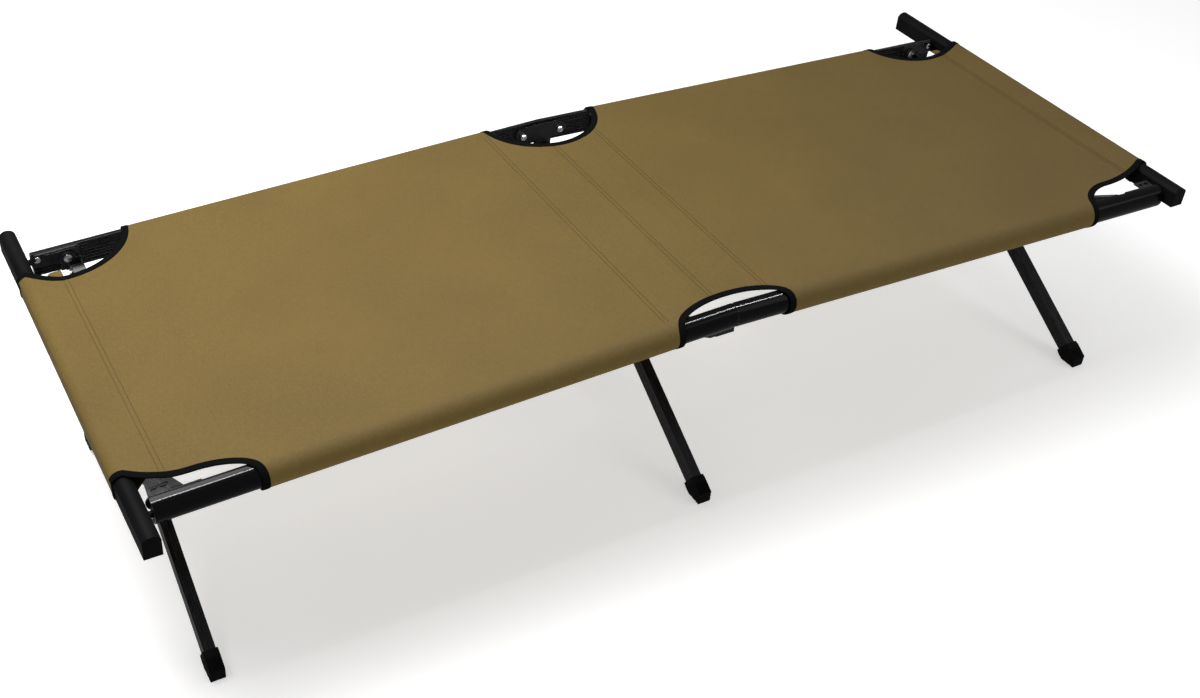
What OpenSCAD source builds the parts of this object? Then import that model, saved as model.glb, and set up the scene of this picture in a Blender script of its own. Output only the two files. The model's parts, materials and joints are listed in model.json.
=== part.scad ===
// Folding cot: fabric deck on two side rails that fold at the middle, three crossed
// leg pairs that close like scissors, and two end bars that spread the rails.
// X runs along the bed, Y from the front side (-) to the back side (+), Z up from the floor.

/* [Bed] */
// Length over the two end bars
bed_length = 1900; // [1880:5:1920]
// Width between the inner faces of the side rails
rail_gap = 604; // [600:1:610]
// Height of the rail centre line at the ends
end_height = 379.2; // [376:0.1:382]
// Slope of each rail half up to the middle, in degrees
arch = 1.68; // [1.5:0.01:1.8]

/* [Side rails] */
// Height of the rail section
rail_h = 42; // [40:1:44]
// Wall thickness of the rail
rail_wall = 2.2; // [2:0.1:3]
// Distance between the two pivots of the middle joint
pivot_pitch = 75; // [75:1:80]
// Gap from the end of a rail to the inner face of an end bar
rail_end_gap = 8; // [6:1:10]

/* [Legs] */
// Distance of the end leg pairs from the middle
leg_x = 862; // [855:1:865]
// Distance of each foot from the centre line
foot_y = 303; // [300:1:306]
// Distance of each upper leg hinge from the centre line
hinge_y = 278; // [276:1:279]
// Height of the upper leg hinges
hinge_z = 364; // [362:1:366]
// Thickness of a leg
leg_t = 18.5; // [16:0.5:18.5]
// Width of a leg
leg_w = 27; // [24:1:28]
// Thickness of a foot cap
foot_t = 24; // [20:1:24]
// Length of a foot cap
foot_len = 46; // [44:1:55]

/* [End bars] */
// Length of an end bar
bar_len = 756; // [750:2:780]
// Width of an end bar
bar_w = 26; // [24:1:28]
// Height of the flat sides of an end bar
bar_side = 27.5; // [26:0.5:30]
// Height of the rounded top above the sides
bar_crown = 8; // [6:1:9]
// How far the left bar stands off centre
bar_shift_left = -3; // [-5:1:10]
// How far the right bar stands off centre
bar_shift_right = 38; // [20:1:40]

/* [Fabric] */
// Thickness of the fabric as a plain solid
cloth_t = 2; // [1.5:0.5:2.5]
// Half length of the middle cut-outs
cut_half = 101; // [95:1:105]
// Depth of the back cut-outs from the outer edge
cut_back = 106; // [100:1:110]
// Depth of the front cut-outs from the outer edge
cut_front = 44; // [40:1:60]
// Width of the binding tape
tape_w = 11; // [9:1:12]

/* [Hidden] */
$fn = 48;

rail_in = rail_gap / 2;
rail_r = rail_h / 2;
pivot_x = pivot_pitch / 2;
bar_inner_x = bed_length / 2 - bar_w;
rail_end_x = bar_inner_x - rail_end_gap;
rail_len = (rail_end_x - pivot_x) / cos(arch);
pivot_z = end_height + (rail_end_x - pivot_x) * tan(arch);
end_gap = 0.4;          // half of the gap between the two rail ends at the middle
end_round = pivot_x - 0.3;
groove_n = 7;
groove_w = 2.6;
groove_d = 0.8;

swing_lift = 1.2;       // swing pins stand this far above the rail centre line
swing_z = pivot_z - (leg_x - pivot_x) * tan(arch) + swing_lift;

pin_r = 4;
bore_r = 4.06;
head_r = 7;
pin_play = 0.3;         // end play of a pin
pin_head_t = 2;
nut_r = 6;              // domed nuts of the middle joint
nut_h = 5;
nut_dome = 4;
plate_gap = 0.4;        // running gap between plates and rails
plate_t = 3;
plate_y = rail_in - plate_gap - plate_t;
strap_t = 3.3;
strap_y = plate_y - plate_gap - strap_t;

leg_dx = leg_t / 2 + 0.25;      // leg a stands at +leg_dx, leg b at -leg_dx
leg_angle = atan(hinge_z / (hinge_y + foot_y));
leg_full = sqrt(pow(hinge_z, 2) + pow(hinge_y + foot_y, 2));
cross_z = hinge_z * foot_y / (hinge_y + foot_y);
cross_s = sqrt(pow(hinge_y, 2) + pow(hinge_z - cross_z, 2));
leg_stop = 14;                  // the tube ends this far above the floor, inside its cap
foot_play = 0.6;                // the feet clear the rails' inner faces by this, folded up
leg_wall = 2.2;
leg_groove = 0.7;
side_grooves = 4;
top_grooves = 4;
crossing_play = 2;              // clearance of the crossing pivots
ear_t = 2;
ear_gap = 0.25;
ear_r = 10;
ear_top = hinge_z + ear_r;
ear_low = hinge_z - 2;
lug_low = hinge_z + 3;          // the lugs of the middle joint are hidden behind the rails
ear_out = leg_dx + leg_t / 2 + ear_gap + ear_t;   // outer ear's far side

bracket_outer = 909 - pivot_x;  // the two ends of a bracket, in the rail's frame
bracket_inner = 843 - pivot_x;
bracket_foot = 38;              // length of the lower part of a bracket
flange_reach = 17;
flange_t = 2.4;
flange_z = 15.9;
groove_z = 17;
rivet_high = 10;
rivet_r = 5.6;
rivet_h = 2.2;

peg_r = 5;
peg_reach = 8;
socket_half = 7.2;
socket_in = 22;                 // the sockets run this far inwards, so the pegs can leave
bar_top = end_height + 20 + bar_crown;
bar_wall = 2;
bar_low = bar_top - bar_crown - bar_side;
bar_round = (pow(bar_w / 2, 2) + pow(bar_crown, 2)) / (2 * bar_crown);

cloth_gap = 0.4;
cloth_y = rail_in + rail_r + 1 + cloth_gap + cloth_t;
cloth_z = rail_r + cloth_gap;
corner_x = 902;
corner_half = 134;
sleeve_front = -258;
sleeve_back = 244;
sleeve_gap = 3;         // between the deck's slab and an end bar
split = 0.5;
centre_z = pivot_z + rail_r + 1.6;

// ---- helpers -------------------------------------------------------------

// Puts the middle of the whole cot's width, over both end bars, on the X axis
module centred() {
  translate([0, -(bar_shift_left + bar_shift_right) / 2, 0]) children();
}

// Draws a child at the right back corner, mirrored to the side asked for
module corner(sx, sy) {
  mirror([sx < 0 ? 1 : 0, 0, 0]) mirror([0, sy < 0 ? 1 : 0, 0]) children();
}

// Puts a child into the sloping frame of a rail half, whose origin is its pivot
module on_rail() {
  translate([pivot_x, 0, pivot_z]) rotate([0, arch, 0]) children();
}

// Cylinder along Y, from y0 to y1
module bar_y(r, y0, y1) {
  translate([0, y0, 0]) rotate([-90, 0, 0]) cylinder(r = r, h = y1 - y0);
}

// Cylinder along X, from x0 to x1
module bar_x(r, x0, x1) {
  translate([x0, 0, 0]) rotate([0, 90, 0]) cylinder(r = r, h = x1 - x0);
}

// Domed rivet head whose flat side lies at y and whose dome points to -Y
module dome(r, h, y) {
  sphere_r = (r * r + h * h) / (2 * h);
  intersection() {
    translate([0, y - h + sphere_r, 0]) sphere(r = sphere_r);
    bar_y(r, y - h, y);
  }
}

// D section of a rail in the Y-Z plane, flat side at y = 0
module d_section(grow) {
  r = rail_r + grow;
  intersection() {
    union() {
      translate([1, 0]) circle(r = r);
      translate([-grow, -r]) square([1 + grow, 2 * r]);
    }
    translate([-grow, -r]) square([r + 1 + grow, 2 * r]);
  }
}

// Extrudes a Y-Z outline along X, from x0 to x1, with the rail's inner face at rail_in
module along_rail(x0, x1) {
  translate([x0, rail_in, 0]) rotate([90, 0, 90]) linear_extrude(height = x1 - x0) children();
}

function ellipse(cx, cy, rx, ry, n) =
  [for (i = [0:n - 1]) [cx + rx * cos(360 * i / n), cy + ry * sin(360 * i / n)]];

// ---- side rails ----------------------------------------------------------

// One half of a side rail: a hollow D section with a ribbed inner face
module rail_half() {
  color("#1d1d20") on_rail() difference() {
    along_rail(end_gap - pivot_x, rail_len) difference() {
      d_section(0);
      d_section(-rail_wall);
      for (i = [0:groove_n - 1])
        translate([-1, (i - (groove_n - 1) / 2) * rail_h / (groove_n + 0.6) - groove_w / 2])
          square([1 + groove_d, groove_w]);
    }
    // lower inner corner, rounded about the pivot so that the halves can fold down
    difference() {
      translate([-pivot_x - 1, rail_in - 1, -rail_r - 1])
        cube([pivot_x + 1, rail_r + 5, rail_r + 1]);
      bar_y(end_round, rail_in - 2, rail_in + rail_r + 6);
    }
    bar_y(bore_r, rail_in - 2, rail_in + 8);
    rotate([0, -arch, 0]) translate([leg_x - pivot_x, 0, swing_z - pivot_z])
      bar_y(bore_r, rail_in - 2, rail_in + 8);
    rivet_place() bar_y(pin_r, rail_in - 2, rail_in + 8);
  }
}

// Plug in the outer end of a rail, with the peg that carries an end bar
module rail_plug() {
  color("#141414") {
    on_rail() difference() {
      along_rail(rail_len - 22, rail_len) d_section(-rail_wall);
      rivet_place() bar_y(pin_r + 2.3, rail_in, rail_in + rail_wall + pin_head_t + 0.3);
    }
    translate([rail_end_x, rail_in + rail_r / 2, end_height]) bar_x(peg_r, 0, rail_end_gap + peg_reach);
  }
}

// ---- middle joint --------------------------------------------------------

// Two rounded ears that carry a leg between them, and the strap they are bent from, whose face
// is at y_top, whose thickness is t and whose lower edge is at z_low
module leg_clevis(side, y_top, t, z_low) {
  x_in = side * (leg_dx + leg_t / 2 + ear_gap);
  x_out = side * (leg_dx - leg_t / 2 - ear_gap);
  difference() {
    union() {
      for (x = [side > 0 ? x_in : x_in - ear_t, side > 0 ? x_out - ear_t : x_out]) {
        translate([0, hinge_y, hinge_z]) bar_x(ear_r, x, x + ear_t);
        translate([x, hinge_y, z_low]) cube([ear_t, y_top - hinge_y, ear_top - z_low]);
      }
      translate([side > 0 ? -13 : -ear_out, y_top, z_low])
        cube([13 + ear_out, t, ear_top - z_low]);
    }
    translate([0, hinge_y, hinge_z]) bar_x(pin_r, -30, 30);
  }
}

// Link plate of the middle joint, with the lug that carries a middle leg
module link_plate(side) {
  color("#1b1b1d") {
    difference() {
      union() {
        for (s = [-1, 1])
          translate([s * pivot_x, 0, pivot_z]) bar_y(14, plate_y, plate_y + plate_t);
        translate([-pivot_x, plate_y, pivot_z - 14]) cube([pivot_pitch, plate_t, 31]);
        translate([side > 0 ? -13 : -ear_out, plate_y, ear_top - 1])
          cube([13 + ear_out, plate_t, pivot_z - ear_top]);
      }
      for (s = [-1, 1])
        translate([s * pivot_x, 0, pivot_z]) bar_y(pin_r, plate_y - 1, plate_y + plate_t + 1);
    }
    leg_clevis(side, plate_y, plate_t, lug_low);
  }
}

// A pin through the ears of a clevis, peened at both ends
module leg_pin(side) {
  reach = side > 0 ? ear_out : ear_t + ear_gap * 2 - leg_dx + leg_t / 2;
  inner = side > 0 ? ear_t + ear_gap - leg_dx + leg_t / 2 : ear_out;
  color("#8e9094") translate([0, hinge_y, hinge_z]) {
    bar_x(pin_r, -inner, reach);
    bar_x(pin_r + 2, reach, reach + 1.2);
    bar_x(pin_r + 2, -inner - 1.2, -inner);
  }
}

// The two pivots of the middle joint, with domed nuts on the inner side, and the leg's pin
module link_pins(side) {
  nut_y = plate_y - nut_h;
  color("#c9ccd0") for (s = [-1, 1]) translate([s * pivot_x, 0, pivot_z]) {
    dome(nut_r, nut_dome, nut_y);
    bar_y(nut_r, nut_y, plate_y);
    swivel_pin(plate_y);
  }
  leg_pin(side);
}

// Shank through a rail's inner wall from y0, with its head inside the rail
module swivel_pin(y0) {
  y1 = rail_in + rail_wall + pin_play;
  bar_y(pin_r, y0, y1);
  bar_y(pin_r + 2.5, y1, y1 + pin_head_t);
}

// ---- end brackets and hangers --------------------------------------------

// Place of the rivet that fixes a bracket, in the rail's frame
module rivet_place() {
  translate([bracket_outer, 0, rivet_high]) children();
}

// Stamped plate fixed to the inner face of a rail, with a pressed groove. A front bracket has
// a slotted flange that stands inwards from its top.
module bracket(flange) {
  color("#18181b") on_rail() difference() {
    union() {
      translate([bracket_outer, 0, rivet_high - 2]) bar_y(12, plate_y, rail_in);
      translate([bracket_inner, plate_y, rivet_high - 14])
        cube([bracket_outer - bracket_inner, rail_in - plate_y, 24]);
      difference() {
        translate([bracket_inner, plate_y, -rail_r - 2])
          cube([bracket_foot, rail_in - plate_y, 24]);
        translate([bracket_inner + bracket_foot + 2, 0, -rail_r])
          bar_y(16, plate_y - 1, rail_in + 1);
      }
      if (flange) translate([bracket_outer, plate_y, flange_z]) slotted_flange();
    }
    translate([0, plate_y, groove_z]) bar_x(1, bracket_inner + 5, bracket_outer - 14);
    rivet_place() bar_y(pin_r, plate_y - 1, rail_in + 1);
    rotate([0, -arch, 0]) translate([leg_x - pivot_x, 0, swing_z - pivot_z])
      bar_y(bore_r, plate_y - 1, rail_in + 1);
  }
}

module slotted_flange() {
  difference() {
    translate([-25, -flange_reach, 0]) cube([30, flange_reach, flange_t]);
    for (x = [-21, -8]) translate([x, -12, -1]) cube([8, 6, flange_t + 2]);
  }
}

// The rivet of a bracket, domed on the inner side
module bracket_rivet() {
  color("#c9ccd0") on_rail() rivet_place() {
    dome(rivet_r, rivet_h, plate_y);
    bar_y(pin_r, plate_y, rail_in + rail_wall);
    bar_y(pin_r + 2, rail_in + rail_wall, rail_in + rail_wall + pin_head_t);
  }
}

// Hanger that swings on the rail and carries the upper end of an end leg
module hanger(side) {
  color("#1b1b1d") translate([leg_x, 0, 0]) {
    difference() {
      union() {
        translate([0, 0, swing_z]) bar_y(12, strap_y, strap_y + strap_t);
        translate([side > 0 ? -12 : -ear_out, strap_y, ear_top - 1])
          cube([12 + ear_out, strap_t, swing_z - ear_top + 1]);
      }
      translate([0, 0, swing_z]) bar_y(pin_r, strap_y - 1, strap_y + strap_t + 1);
    }
    leg_clevis(side, strap_y, strap_t, ear_low);
  }
}

// Swing pin of a hanger and the pin of its leg
module hanger_pins(side) {
  translate([leg_x, 0, 0]) {
    color("#2a2a2d") translate([0, 0, swing_z]) {
      dome(head_r, 1.8, strap_y);
      swivel_pin(strap_y);
    }
    leg_pin(side);
  }
}

// ---- legs ----------------------------------------------------------------

// Puts a child on the line of leg a: origin at the upper hinge, -Z' along the leg
module on_leg() {
  translate([leg_dx, hinge_y, hinge_z]) rotate([leg_angle - 90, 0, 0]) children();
}

// Hollow ribbed tube, solid at its upper end, with its two pivot holes
module leg_tube() {
  len = leg_full - leg_stop / sin(leg_angle);
  difference() {
    union() {
      bar_x(leg_w / 2, -leg_t / 2, leg_t / 2);
      translate([-leg_t / 2, -leg_w / 2, -len]) difference() {
        cube([leg_t, leg_w, len]);
        for (i = [0:side_grooves - 1], x = [-1, leg_t - leg_groove])
          translate([x, leg_w * (i + 1) / (side_grooves + 1) - 1, -1])
            cube([leg_groove + 1, 2, len - 24]);
        for (i = [0:top_grooves - 1], y = [-1, leg_w - leg_groove])
          translate([leg_t * (i + 1) / (top_grooves + 1) - 0.7, y, -1])
            cube([1.4, leg_groove + 1, len - 24]);
      }
    }
    translate([leg_wall - leg_t / 2, leg_wall - leg_w / 2, -len - 1])
      cube([leg_t - 2 * leg_wall, leg_w - 2 * leg_wall, len - 18]);
    bar_x(bore_r, -20, 20);
    translate([0, 0, -cross_s]) bar_x(bore_r + crossing_play, -20, 20);
  }
}

// Leg with its upper hinge at the back
module leg_a() {
  color("#17171a") on_leg() leg_tube();
}

// Tapered cap on the lower end of a leg, cut level with the floor, and upright at its tip so
// that it folds up between the rails
module foot_a() {
  pocket = leg_full - leg_stop / sin(leg_angle);
  color("#0d0d0d") difference() {
    on_leg() difference() {
      rotate([90, 0, 90]) translate([0, 0, -foot_t / 2]) linear_extrude(height = foot_t)
        polygon([for (p = [[15.2, foot_len], [17, foot_len - 8], [16.4, 3], [14, 0]], s = [1, -1])
          [s * p[0], p[1] - leg_full]], paths = [[0, 2, 4, 6, 7, 5, 3, 1]]);
      translate([-leg_t / 2, -leg_w / 2, -pocket]) cube([leg_t, leg_w, pocket]);
      for (i = [-2:2], s = [-1, 1])
        translate([s * foot_t / 2 - 0.6, i * 6 - 1, -leg_full - 1]) cube([1.2, 2, foot_len - 8]);
      for (i = [-1.5:1.5], s = [-1, 1])
        translate([i * 5.6 - 1, s * 17 - 1.5, -leg_full - 1]) cube([2, 3, foot_len - 12]);
    }
    translate([-50, -500, -100]) cube([100, 1000, 100]);
    translate([-50, foot_play - rail_in - 50, -1]) cube([100, 50, 60]);
  }
}

// Rivet at the crossing of a leg pair
module cross_rivet() {
  grip = leg_t + 0.25;
  color("#8e9094") translate([0, 0, cross_z]) {
    bar_x(pin_r, -grip, grip);
    bar_x(head_r, grip, grip + 0.8);
    bar_x(head_r, -grip - 0.8, -grip);
  }
}

// ---- end bars ------------------------------------------------------------

// Section of an end bar in the X-Z plane, grown all round
module bar_section(grow) {
  w = bar_w / 2 + grow;
  intersection() {
    union() {
      translate([-w, bar_low - grow]) square([2 * w, bar_side + grow]);
      translate([0, bar_top - bar_round]) circle(r = bar_round + grow, $fn = 96);
    }
    translate([-w, bar_low - grow]) square([2 * w, bar_side + bar_crown + 2 * grow]);
  }
}

// Extrudes an X-Z outline along Y over the right end of the bed
module along_bar(y0, y1) {
  translate([bed_length / 2 - bar_w / 2, y1, 0]) rotate([90, 0, 0])
    linear_extrude(height = y1 - y0) children();
}

// End bar: a hollow bar with the two keyhole sockets that take the rail pegs
module end_bar(shift) {
  color("#1a1a1a") difference() {
    along_bar(shift - bar_len / 2 + 3, shift + bar_len / 2 - 3) difference() {
      bar_section(0);
      bar_section(-bar_wall);
    }
    for (s = [-1, 1]) translate([bar_inner_x - 1, s * (rail_in + rail_r / 2), end_height]) {
      for (e = [0, socket_in]) translate([0, -s * e, 0]) bar_x(socket_half, 0, 6);
      translate([0, s > 0 ? -socket_in : 0, -socket_half]) cube([6, socket_in, 2 * socket_half]);
    }
  }
}

// The two caps in the ends of an end bar
module bar_caps(shift) {
  color("#101010") for (s = [-1, 1]) {
    y_end = shift + s * bar_len / 2;
    along_bar(min(y_end, y_end - s * 3), max(y_end, y_end - s * 3)) bar_section(0);
    along_bar(min(y_end - s * 3, y_end - s * 18), max(y_end - s * 3, y_end - s * 18))
      bar_section(-bar_wall);
  }
}

// ---- fabric --------------------------------------------------------------

// Cut-outs of the deck in plan, grown all round by the tape's width or by 0
module cut_outs(grow) {
  for (s = [-1, 1]) {
    depth = s > 0 ? cut_back : cut_front;
    polygon(ellipse(0, s * cloth_y, cut_half + grow, depth + grow, 40));
    polygon(ellipse(corner_x, s * cloth_y, corner_half + grow, depth + grow, 40));
  }
}

// Plan of the deck from x0 to x1
module deck_plan(x0, x1) {
  translate([x0, -rail_in]) square([x1 - x0, 2 * rail_in]);
}

// Lays a plan outline on the right half of the deck as a slab
module deck_right() {
  translate([0, 0, pivot_z]) rotate([0, arch, 0]) translate([0, 0, cloth_z + 1.1])
    linear_extrude(height = cloth_t) children();
}

module canvas_side() {
  color("#84704a") deck_right() difference() {
    deck_plan(pivot_x + 3, bar_inner_x - sleeve_gap);
    cut_outs(tape_w);
  }
}

module binding_side() {
  color("#121212") deck_right() difference() {
    intersection() {
      deck_plan(pivot_x + 3, bar_inner_x - sleeve_gap);
      cut_outs(tape_w);
    }
    cut_outs(0);
  }
}

module canvas_centre() {
  color("#84704a") translate([0, 0, centre_z]) linear_extrude(height = cloth_t) difference() {
    deck_plan(split - pivot_x, pivot_x - split);
    cut_outs(tape_w);
  }
}

module binding_centre() {
  color("#121212") translate([0, 0, centre_z]) linear_extrude(height = cloth_t) difference() {
    intersection() {
      deck_plan(split - pivot_x, pivot_x - split);
      cut_outs(tape_w);
    }
    cut_outs(0);
  }
}

// Sleeve at the end of the deck, round an end bar
module end_sleeve() {
  color("#7b6843") along_bar(sleeve_front, sleeve_back) difference() {
    bar_section(cloth_gap + cloth_t);
    bar_section(cloth_gap);
  }
}

// Sleeve along one rail half, open on the inner side
module rail_sleeve() {
  color("#7b6843") on_rail() along_rail(cut_half + 4 - pivot_x, corner_x - corner_half - 4 - pivot_x)
    difference() {
      d_section(cloth_gap + cloth_t);
      d_section(cloth_gap);
      translate([-5, -30]) square([5.4, 60]);
    }
}

// ---- the assembly --------------------------------------------------------

centred() link_plate(1);  // back_link_plate
centred() link_pins(1);  // back_link_pins
centred() mirror([0, 1, 0]) link_plate(-1);  // front_link_plate
centred() mirror([0, 1, 0]) link_pins(-1);  // front_link_pins
centred() leg_a();  // middle_leg_a
centred() rotate([0, 0, 180]) leg_a();  // middle_leg_b
centred() foot_a();  // middle_foot_a
centred() rotate([0, 0, 180]) foot_a();  // middle_foot_b
centred() cross_rivet();  // middle_cross_rivet
centred() corner(-1, 1) rail_half();  // rail_back_left
centred() corner(1, 1) rail_half();  // rail_back_right
centred() corner(-1, -1) rail_half();  // rail_front_left
centred() corner(1, -1) rail_half();  // rail_front_right
centred() corner(-1, 1) rail_plug();  // plug_back_left
centred() corner(1, 1) rail_plug();  // plug_back_right
centred() corner(-1, -1) rail_plug();  // plug_front_left
centred() corner(1, -1) rail_plug();  // plug_front_right
centred() corner(-1, 1) bracket(false);  // bracket_back_left
centred() corner(1, 1) bracket(false);  // bracket_back_right
centred() corner(-1, -1) bracket(true);  // bracket_front_left
centred() corner(1, -1) bracket(true);  // bracket_front_right
centred() corner(-1, 1) bracket_rivet();  // bracket_rivet_back_left
centred() corner(1, 1) bracket_rivet();  // bracket_rivet_back_right
centred() corner(-1, -1) bracket_rivet();  // bracket_rivet_front_left
centred() corner(1, -1) bracket_rivet();  // bracket_rivet_front_right
centred() corner(-1, 1) hanger(-1);  // hanger_back_left
centred() corner(1, 1) hanger(1);  // hanger_back_right
centred() corner(-1, -1) hanger(1);  // hanger_front_left
centred() corner(1, -1) hanger(-1);  // hanger_front_right
centred() corner(-1, 1) hanger_pins(-1);  // hanger_pins_back_left
centred() corner(1, 1) hanger_pins(1);  // hanger_pins_back_right
centred() corner(-1, -1) hanger_pins(1);  // hanger_pins_front_left
centred() corner(1, -1) hanger_pins(-1);  // hanger_pins_front_right
centred() translate([-leg_x, 0, 0]) leg_a();  // leg_left_a
centred() translate([-leg_x, 0, 0]) rotate([0, 0, 180]) leg_a();  // leg_left_b
centred() translate([leg_x, 0, 0]) leg_a();  // leg_right_a
centred() translate([leg_x, 0, 0]) rotate([0, 0, 180]) leg_a();  // leg_right_b
centred() translate([-leg_x, 0, 0]) foot_a();  // foot_left_a
centred() translate([-leg_x, 0, 0]) rotate([0, 0, 180]) foot_a();  // foot_left_b
centred() translate([leg_x, 0, 0]) foot_a();  // foot_right_a
centred() translate([leg_x, 0, 0]) rotate([0, 0, 180]) foot_a();  // foot_right_b
centred() translate([-leg_x, 0, 0]) cross_rivet();  // cross_rivet_left
centred() translate([leg_x, 0, 0]) cross_rivet();  // cross_rivet_right
centred() corner(-1, 1) end_bar(bar_shift_left);  // end_bar_left
centred() corner(1, 1) end_bar(bar_shift_right);  // end_bar_right
centred() corner(-1, 1) bar_caps(bar_shift_left);  // bar_caps_left
centred() corner(1, 1) bar_caps(bar_shift_right);  // bar_caps_right
centred() canvas_centre();
centred() corner(-1, 1) canvas_side();  // canvas_left
centred() corner(1, 1) canvas_side();  // canvas_right
centred() binding_centre();
centred() corner(-1, 1) binding_side();  // binding_left
centred() corner(1, 1) binding_side();  // binding_right
centred() corner(-1, 1) end_sleeve();  // end_sleeve_left
centred() corner(1, 1) end_sleeve();  // end_sleeve_right
centred() corner(-1, 1) rail_sleeve();  // rail_sleeve_back_left
centred() corner(1, 1) rail_sleeve();  // rail_sleeve_back_right
centred() corner(-1, -1) rail_sleeve();  // rail_sleeve_front_left
centred() corner(1, -1) rail_sleeve();  // rail_sleeve_front_right
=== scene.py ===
"""Folding cot: the fabric deck, its sleeves, tapes and seams, every material, lights and camera.

Metres throughout. X runs along the bed, Y to the back, Z up. Each fabric piece is laid out flat in
(u, v), metres of cloth along and across the bed, and then wrapped over the rails and end bars. The
UV map is that flat layout, so the weave keeps its size on every surface.
"""

import json
import math

import bpy
import numpy as np
from mathutils import Matrix, Vector
from mathutils.geometry import delaunay_2d_cdt

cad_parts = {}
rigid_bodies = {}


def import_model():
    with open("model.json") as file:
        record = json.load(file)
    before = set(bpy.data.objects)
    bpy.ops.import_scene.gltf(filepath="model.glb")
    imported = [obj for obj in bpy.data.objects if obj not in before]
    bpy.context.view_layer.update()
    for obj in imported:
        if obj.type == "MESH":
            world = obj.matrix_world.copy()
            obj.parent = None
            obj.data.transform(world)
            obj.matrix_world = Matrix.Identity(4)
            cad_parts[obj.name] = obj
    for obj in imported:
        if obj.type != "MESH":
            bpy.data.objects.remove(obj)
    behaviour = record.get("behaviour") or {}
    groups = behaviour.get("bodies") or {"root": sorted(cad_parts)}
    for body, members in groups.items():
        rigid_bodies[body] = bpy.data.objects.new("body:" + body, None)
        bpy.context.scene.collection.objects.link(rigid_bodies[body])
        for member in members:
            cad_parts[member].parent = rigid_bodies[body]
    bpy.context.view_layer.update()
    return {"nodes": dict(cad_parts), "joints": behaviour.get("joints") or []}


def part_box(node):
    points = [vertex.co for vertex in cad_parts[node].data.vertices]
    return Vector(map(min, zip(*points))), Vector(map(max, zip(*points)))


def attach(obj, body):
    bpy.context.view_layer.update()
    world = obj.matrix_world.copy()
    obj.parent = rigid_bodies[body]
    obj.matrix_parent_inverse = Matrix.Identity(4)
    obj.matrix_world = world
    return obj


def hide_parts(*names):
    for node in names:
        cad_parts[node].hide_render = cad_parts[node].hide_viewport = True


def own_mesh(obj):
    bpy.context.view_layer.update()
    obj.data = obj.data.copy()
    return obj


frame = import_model()
NODES = frame["nodes"]

MM = 0.001
TINY = 1e-6
SIDES = {"left": -1, "right": 1}
ENDS = {"front": -1, "back": 1}

# ---- places taken from the frame ------------------------------------------

JOINTS = {j["name"]: j for j in frame["joints"]}
PIVOT_X, _, PIVOT_Z = JOINTS["fold"]["pos_m"]
back_face, front_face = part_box("rail_back_right")[0].y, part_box("rail_front_right")[1].y
CENTRE_Y = (back_face + front_face) / 2  # the rails' middle line; the fabric is laid out from it
RAIL_IN = (back_face - front_face) / 2
BAR_IN, BAR_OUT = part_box("end_bar_right")[0].x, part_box("end_bar_right")[1].x
BAR_LOW, BAR_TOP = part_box("end_bar_right")[0].z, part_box("end_bar_right")[1].z
BAR_X = (BAR_IN + BAR_OUT) / 2

ARCH = math.radians(1.68)  # slope of a rail half
RAIL_R = 21 * MM  # round outer side of a rail
CLOTH_GAP = 2.4 * MM  # mid layer of the cloth above what it lies on
CLOTH_T = 0.8 * MM
TOP_Y = RAIL_IN + 1 * MM  # the top of a rail's round side
WRAP_R = RAIL_R + CLOTH_GAP
BAR_CROWN = 8 * MM

# ---- the cut-outs of the deck ---------------------------------------------

TAPE_W = 10.5 * MM
TAPE_T = 0.9 * MM
RING_Y = TOP_Y + WRAP_R  # the outermost line of the cloth on a rail
MIDDLE = {"front": (98 * MM, 42 * MM), "back": (104 * MM, 106 * MM)}  # half length, depth
# Corner cut-outs: place and edge of the deepest point, half length, and change towards the bar
CORNER = {
    ("left", "back"): (885 * MM, 217 * MM, 118 * MM, 27 * MM),
    ("right", "back"): (850 * MM, 238 * MM, 86 * MM, 27 * MM),
    ("left", "front"): (851 * MM, 284 * MM, 82 * MM, -26 * MM),
    ("right", "front"): (822 * MM, 273 * MM, 64 * MM, -28 * MM),
}


def middle_edge(end, x):
    """|y| of the middle cut-out's edge at x."""
    half, depth = MIDDLE[end]
    return RING_Y - depth * np.sqrt(np.clip(1 - (np.abs(x) / half) ** 2, 0, 1))


def corner_edge(side, end, x):
    """|y| of a corner cut-out's edge at |x|."""
    deep_x, deep_y, half, change = CORNER[side, end]
    rail_part = RING_Y - (RING_Y - deep_y) * np.sqrt(
        np.clip(1 - ((x - deep_x) / half) ** 2, 0, 1)
    )
    bar_part = deep_y + change * ((x - deep_x) / (BAR_X - deep_x)) ** 2
    return np.where(x < deep_x, rail_part, np.where(x > BAR_X, deep_y + change, bar_part))


def sleeve_ends(side, end, y):
    """|x| of both ends of a rail's cloth at |y|, from the middle cut-out to the corner one."""
    half, depth = MIDDLE[end]
    deep_x, deep_y, corner_half, _ = CORNER[side, end]
    t = np.clip((RING_Y - y) / depth, 0, 1)
    c = np.clip((RING_Y - y) / (RING_Y - deep_y), 0, 1)
    return half * np.sqrt(1 - t * t), deep_x - corner_half * np.sqrt(1 - c * c)


# ---- the stretched deck -----------------------------------------------------

MIDDLE_ZONE = 120 * MM  # a middle cut-out lies within this of the middle
CORNER_ZONE = 700 * MM  # a corner cut-out lies beyond this
END_SEAM = 885 * MM  # where an end sleeve is sewn to the deck
SEAM_IN = 26 * MM  # a rail's cloth is sewn under the deck, this far inwards of the rail
SLEEVE_SEAM = RAIL_IN - SEAM_IN
SEAM_REACH = 225 * MM
SEAM_RISE = 1.6 * MM  # its seam above the line of the rails' tops


def rail_line(x):
    """Height of the cloth on top of a rail at x."""
    return (
        PIVOT_Z
        + WRAP_R / math.cos(ARCH)
        - np.maximum(np.abs(x) - PIVOT_X, 0) * math.tan(ARCH)
    )


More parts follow.
